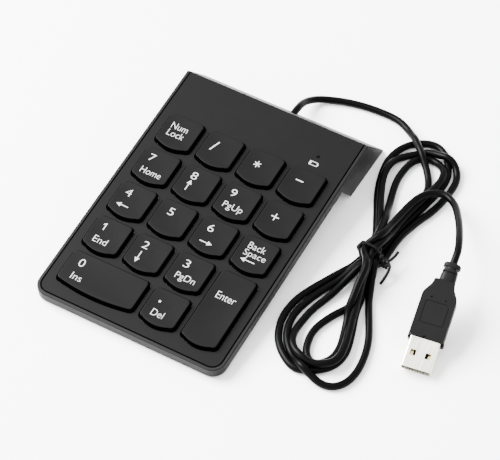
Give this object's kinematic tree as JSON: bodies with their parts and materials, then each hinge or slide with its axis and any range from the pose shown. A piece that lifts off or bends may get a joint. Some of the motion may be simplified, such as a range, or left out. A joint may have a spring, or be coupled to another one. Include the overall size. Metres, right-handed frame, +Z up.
{
  "type": "numeric keypad",
  "caption": "Slim wired numeric keypad with a tilted deck, low dished keys and a raised rim, its lead tied in a figure-of-eight hank that ends in a USB plug.",
  "frame": {"origin": "centre of the keypad's footprint, on the surface that its feet stand on", "axes": "+X to the user's right, +Y away from the user towards the lead's exit, +Z up"},
  "size_m": [0.1556, 0.1553, 0.0196],
  "materials": {
    "cover_plastic": "fine satin texture, moulded",
    "tray_plastic": "fine satin texture, moulded",
    "key_plastic": "satin tops with white lettering, glossy skirts",
    "carrier_plastic": "plain moulded",
    "silicone": "soft, translucent white",
    "film": "clear printed film",
    "steel": "zinc plated",
    "board": "green solder mask",
    "chip": "moulded epoxy",
    "light": "clear moulded",
    "rubber": "soft matt",
    "cord_sheath": "smooth semi-gloss PVC",
    "tie_plastic": "coated wire",
    "plug_plastic": "fine spark texture",
    "shell_metal": "bright nickel plate",
    "tongue_plastic": "plain moulded",
    "gold": "gold plated"
  },
  "bodies": {
    "base": {"top_cover": "cover_plastic", "bottom_cover": "tray_plastic", "key_carrier": "carrier_plastic", "dome_sheet": "silicone", "membrane_upper": "film", "membrane_spacer": "film", "membrane_lower": "film", "backing_plate": "steel", "case_screw_1": "steel", "case_screw_2": "steel", "case_screw_3": "steel", "case_screw_4": "steel", "board_screw_1": "steel", "board_screw_2": "steel", "membrane_clamp": "steel", "control_board": "board", "controller_chip": "chip", "status_light": "light", "light_pipe": "light", "foot_1": "rubber", "foot_2": "rubber", "foot_3": "rubber", "foot_4": "rubber", "cable_grommet": "rubber", "cord_inner": "cord_sheath", "cord_lead": "cord_sheath", "cord_hank": "cord_sheath", "cord_tail": "cord_sheath", "twist_tie": "tie_plastic", "plug_body": "plug_plastic", "plug_strain_relief": "plug_plastic", "plug_shell": "shell_metal", "plug_tongue": "tongue_plastic", "cable_socket": "tongue_plastic", "plug_contact_1": "gold", "plug_contact_2": "gold", "plug_contact_3": "gold", "plug_contact_4": "gold"},
    "key_num_lock": {"key_num_lock": "key_plastic"},
    "key_divide": {"key_divide": "key_plastic"},
    "key_multiply": {"key_multiply": "key_plastic"},
    "key_subtract": {"key_subtract": "key_plastic"},
    "key_7": {"key_7": "key_plastic"},
    "key_8": {"key_8": "key_plastic"},
    "key_9": {"key_9": "key_plastic"},
    "key_add": {"key_add": "key_plastic"},
    "key_4": {"key_4": "key_plastic"},
    "key_5": {"key_5": "key_plastic"},
    "key_6": {"key_6": "key_plastic"},
    "key_backspace": {"key_backspace": "key_plastic"},
    "key_1": {"key_1": "key_plastic"},
    "key_2": {"key_2": "key_plastic"},
    "key_3": {"key_3": "key_plastic"},
    "key_decimal": {"key_decimal": "key_plastic"},
    "key_0": {"key_0": "key_plastic"},
    "key_enter": {"key_enter": "key_plastic"},
    "stabiliser_0": {"stabiliser_0": "steel"},
    "stabiliser_enter": {"stabiliser_enter": "steel"}
  },
  "joints": [
    {"name": "press_num_lock", "type": "slide", "parent": "base", "child": "key_num_lock", "axis": [0, 0.1011, -0.9949], "range_m": [0, 0.0015], "stiffness_N_per_m": 250, "springref_m": -0.0012, "deforming": ["dome_sheet"]},
    {"name": "press_divide", "type": "slide", "parent": "base", "child": "key_divide", "axis": [0, 0.1011, -0.9949], "range_m": [0, 0.0015], "stiffness_N_per_m": 250, "springref_m": -0.0012, "deforming": ["dome_sheet"]},
    {"name": "press_multiply", "type": "slide", "parent": "base", "child": "key_multiply", "axis": [0, 0.1011, -0.9949], "range_m": [0, 0.0015], "stiffness_N_per_m": 250, "springref_m": -0.0012, "deforming": ["dome_sheet"]},
    {"name": "press_subtract", "type": "slide", "parent": "base", "child": "key_subtract", "axis": [0, 0.1011, -0.9949], "range_m": [0, 0.0015], "stiffness_N_per_m": 250, "springref_m": -0.0012, "deforming": ["dome_sheet"]},
    {"name": "press_7", "type": "slide", "parent": "base", "child": "key_7", "axis": [0, 0.1011, -0.9949], "range_m": [0, 0.0015], "stiffness_N_per_m": 250, "springref_m": -0.0012, "deforming": ["dome_sheet"]},
    {"name": "press_8", "type": "slide", "parent": "base", "child": "key_8", "axis": [0, 0.1011, -0.9949], "range_m": [0, 0.0015], "stiffness_N_per_m": 250, "springref_m": -0.0012, "deforming": ["dome_sheet"]},
    {"name": "press_9", "type": "slide", "parent": "base", "child": "key_9", "axis": [0, 0.1011, -0.9949], "range_m": [0, 0.0015], "stiffness_N_per_m": 250, "springref_m": -0.0012, "deforming": ["dome_sheet"]},
    {"name": "press_add", "type": "slide", "parent": "base", "child": "key_add", "axis": [0, 0.1011, -0.9949], "range_m": [0, 0.0015], "stiffness_N_per_m": 250, "springref_m": -0.0012, "deforming": ["dome_sheet"]},
    {"name": "press_4", "type": "slide", "parent": "base", "child": "key_4", "axis": [0, 0.1011, -0.9949], "range_m": [0, 0.0015], "stiffness_N_per_m": 250, "springref_m": -0.0012, "deforming": ["dome_sheet"]},
    {"name": "press_5", "type": "slide", "parent": "base", "child": "key_5", "axis": [0, 0.1011, -0.9949], "range_m": [0, 0.0015], "stiffness_N_per_m": 250, "springref_m": -0.0012, "deforming": ["dome_sheet"]},
    {"name": "press_6", "type": "slide", "parent": "base", "child": "key_6", "axis": [0, 0.1011, -0.9949], "range_m": [0, 0.0015], "stiffness_N_per_m": 250, "springref_m": -0.0012, "deforming": ["dome_sheet"]},
    {"name": "press_backspace", "type": "slide", "parent": "base", "child": "key_backspace", "axis": [0, 0.1011, -0.9949], "range_m": [0, 0.0015], "stiffness_N_per_m": 250, "springref_m": -0.0012, "deforming": ["dome_sheet"]},
    {"name": "press_1", "type": "slide", "parent": "base", "child": "key_1", "axis": [0, 0.1011, -0.9949], "range_m": [0, 0.0015], "stiffness_N_per_m": 250, "springref_m": -0.0012, "deforming": ["dome_sheet"]},
    {"name": "press_2", "type": "slide", "parent": "base", "child": "key_2", "axis": [0, 0.1011, -0.9949], "range_m": [0, 0.0015], "stiffness_N_per_m": 250, "springref_m": -0.0012, "deforming": ["dome_sheet"]},
    {"name": "press_3", "type": "slide", "parent": "base", "child": "key_3", "axis": [0, 0.1011, -0.9949], "range_m": [0, 0.0015], "stiffness_N_per_m": 250, "springref_m": -0.0012, "deforming": ["dome_sheet"]},
    {"name": "press_decimal", "type": "slide", "parent": "base", "child": "key_decimal", "axis": [0, 0.1011, -0.9949], "range_m": [0, 0.0015], "stiffness_N_per_m": 250, "springref_m": -0.0012, "deforming": ["dome_sheet"]},
    {"name": "press_0", "type": "slide", "parent": "base", "child": "key_0", "axis": [0, 0.1011, -0.9949], "range_m": [0, 0.0015], "stiffness_N_per_m": 250, "springref_m": -0.0012, "deforming": ["dome_sheet"]},
    {"name": "press_enter", "type": "slide", "parent": "base", "child": "key_enter", "axis": [0, 0.1011, -0.9949], "range_m": [0, 0.0015], "stiffness_N_per_m": 250, "springref_m": -0.0012, "deforming": ["dome_sheet"]},
    {"name": "stabiliser_0_tilt", "type": "hinge", "parent": "base", "child": "stabiliser_0", "pos_m": [-0.019, -0.04765, 0.00617], "axis": [1, 0, 0], "range_deg": [0, 15]},
    {"name": "stabiliser_enter_tilt", "type": "hinge", "parent": "base", "child": "stabiliser_enter", "pos_m": [0.0331, -0.04278, 0.00666], "axis": [0, -0.9949, -0.1011], "range_deg": [0, 15]}
  ],
  "couplings": [
    {"joint": "stabiliser_0_tilt", "follows": "press_0", "rad_per_m": 169.7},
    {"joint": "stabiliser_enter_tilt", "follows": "press_enter", "rad_per_m": 169.7}
  ]
}
